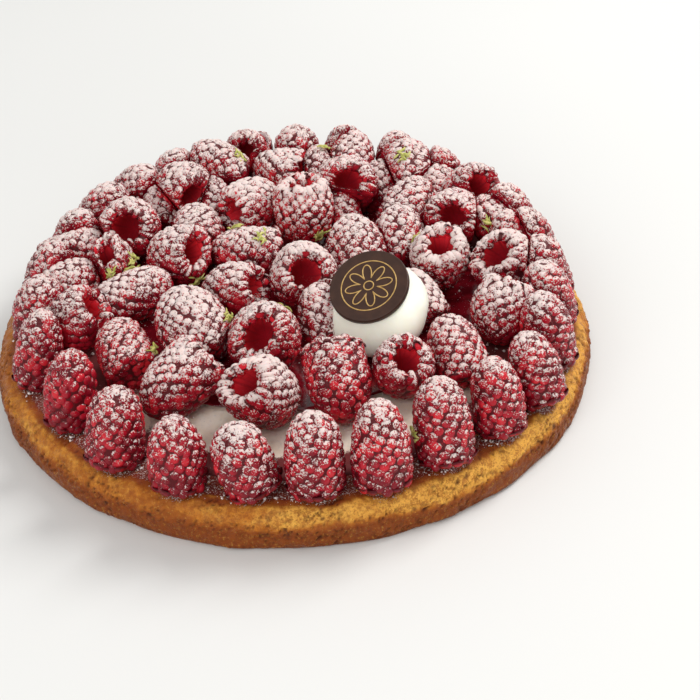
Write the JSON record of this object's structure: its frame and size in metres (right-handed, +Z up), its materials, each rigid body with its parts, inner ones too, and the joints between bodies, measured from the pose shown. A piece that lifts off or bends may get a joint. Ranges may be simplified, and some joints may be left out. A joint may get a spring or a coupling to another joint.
{
  "type": "raspberry tart",
  "caption": "Round baked tart covered with sugar-dusted raspberries, with a dollop of cream and a chocolate disc.",
  "frame": {"origin": "centre of the flat underside of the baked base", "axes": "+Z up, out of the berries; the side shown in the picture faces -Y, and the dollop lies toward +X"},
  "size_m": [0.2067, 0.2102, 0.0471],
  "materials": {
    "crust": "baked sweet pastry, golden on the shoulder and browner down the side",
    "cream": "smooth pale cream with a soft sheen",
    "coulis": "wet, dark red berry coulis",
    "raspberry": "red berry skin, dusted with icing sugar from above, with a few shreds of green zest",
    "whipped_cream": "smooth ivory whipped cream",
    "chocolate": "dark satin chocolate"
  },
  "bodies": {
    "root": {"baked_base": "crust", "chocolate_disc": "chocolate", "cream_dollop": "whipped_cream", "cream_layer": "cream", "raspberry_coulis": "coulis", "raspberry_inner_01": "raspberry", "raspberry_inner_02": "raspberry", "raspberry_inner_04": "raspberry", "raspberry_inner_05": "raspberry", "raspberry_inner_08": "raspberry", "raspberry_inner_09": "raspberry", "raspberry_inner_10": "raspberry", "raspberry_inner_12": "raspberry", "raspberry_inner_13": "raspberry", "raspberry_inner_14": "raspberry", "raspberry_inner_15": "raspberry", "raspberry_inner_16": "raspberry", "raspberry_inner_17": "raspberry", "raspberry_inner_18": "raspberry", "raspberry_inner_20": "raspberry", "raspberry_inner_21": "raspberry", "raspberry_outer_01": "raspberry", "raspberry_outer_02": "raspberry", "raspberry_outer_03": "raspberry", "raspberry_outer_04": "raspberry", "raspberry_outer_05": "raspberry", "raspberry_outer_06": "raspberry", "raspberry_outer_07": "raspberry", "raspberry_outer_09": "raspberry", "raspberry_outer_10": "raspberry", "raspberry_outer_11": "raspberry", "raspberry_outer_12": "raspberry", "raspberry_outer_14": "raspberry", "raspberry_outer_15": "raspberry", "raspberry_outer_16": "raspberry", "raspberry_outer_17": "raspberry", "raspberry_outer_18": "raspberry", "raspberry_outer_19": "raspberry", "raspberry_outer_20": "raspberry", "raspberry_outer_21": "raspberry", "raspberry_outer_22": "raspberry", "raspberry_outer_23": "raspberry", "raspberry_outer_24": "raspberry", "raspberry_rim_01": "raspberry", "raspberry_rim_08": "raspberry", "raspberry_rim_11": "raspberry", "raspberry_rim_12": "raspberry", "raspberry_rim_16": "raspberry", "raspberry_rim_17": "raspberry", "raspberry_rim_18": "raspberry", "raspberry_rim_19": "raspberry", "raspberry_rim_20": "raspberry", "raspberry_rim_21": "raspberry", "raspberry_rim_22": "raspberry", "raspberry_rim_23": "raspberry", "raspberry_rim_24": "raspberry", "raspberry_rim_25": "raspberry", "raspberry_rim_26": "raspberry", "raspberry_rim_27": "raspberry", "raspberry_rim_28": "raspberry"}
  },
  "joints": []
}
